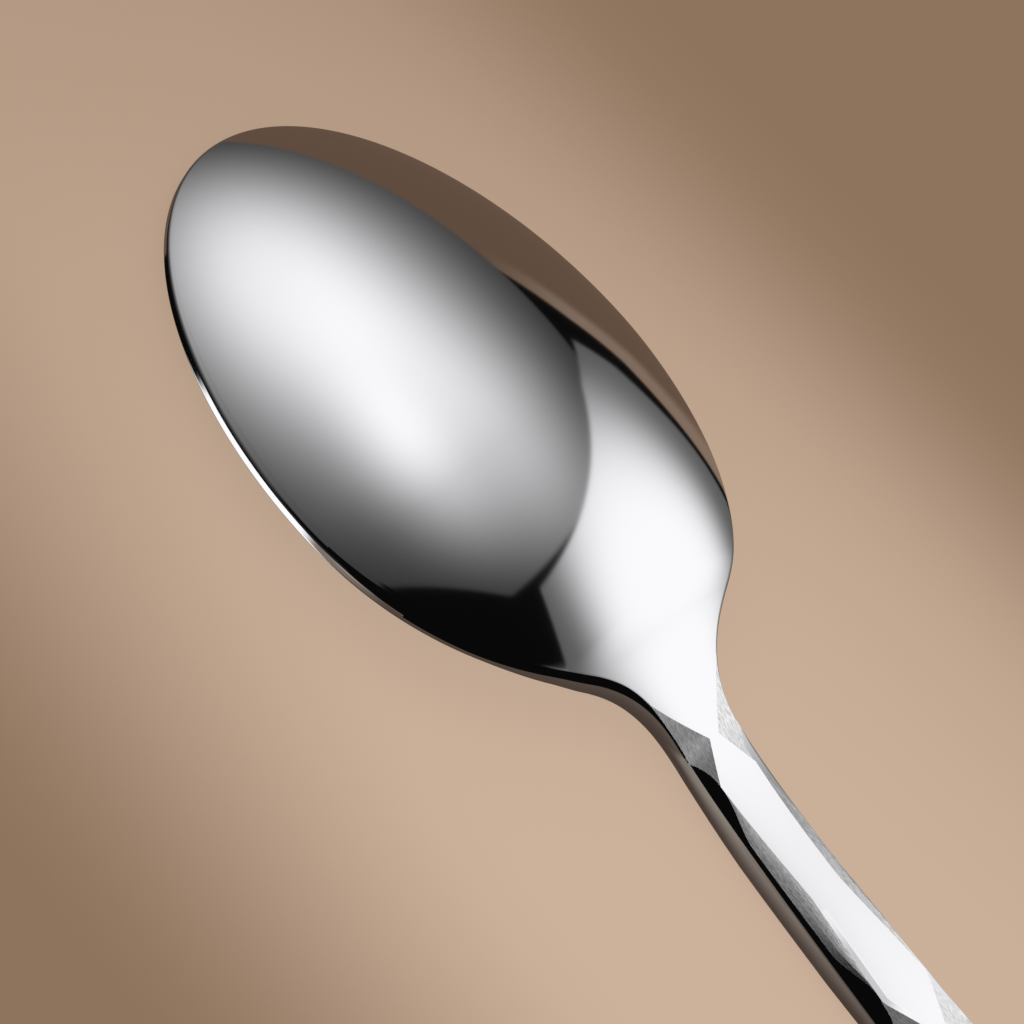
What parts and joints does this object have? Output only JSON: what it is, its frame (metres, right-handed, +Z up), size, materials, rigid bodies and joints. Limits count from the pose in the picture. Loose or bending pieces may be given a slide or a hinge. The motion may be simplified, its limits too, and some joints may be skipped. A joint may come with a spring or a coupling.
{
  "type": "teaspoon",
  "caption": "Polished steel teaspoon lying face down: oval bowl with a domed back, a narrow pinched neck, and a slim faceted handle that widens to a rounded end.",
  "frame": {"origin": "middle of the spoon's footprint, on the table it lies on, face down", "axes": "+X along the spoon towards the bowl's tip, +Y across the bowl, +Z up out of the bowl's back"},
  "size_m": [0.1408, 0.0308, 0.0108],
  "materials": {
    "bowl_steel": "stainless steel, mirror polished",
    "handle_steel": "stainless steel, mirror polished, with brushed kite facets at each pinch"
  },
  "bodies": {
    "root": {"bowl": "bowl_steel", "handle": "handle_steel"}
  },
  "joints": []
}
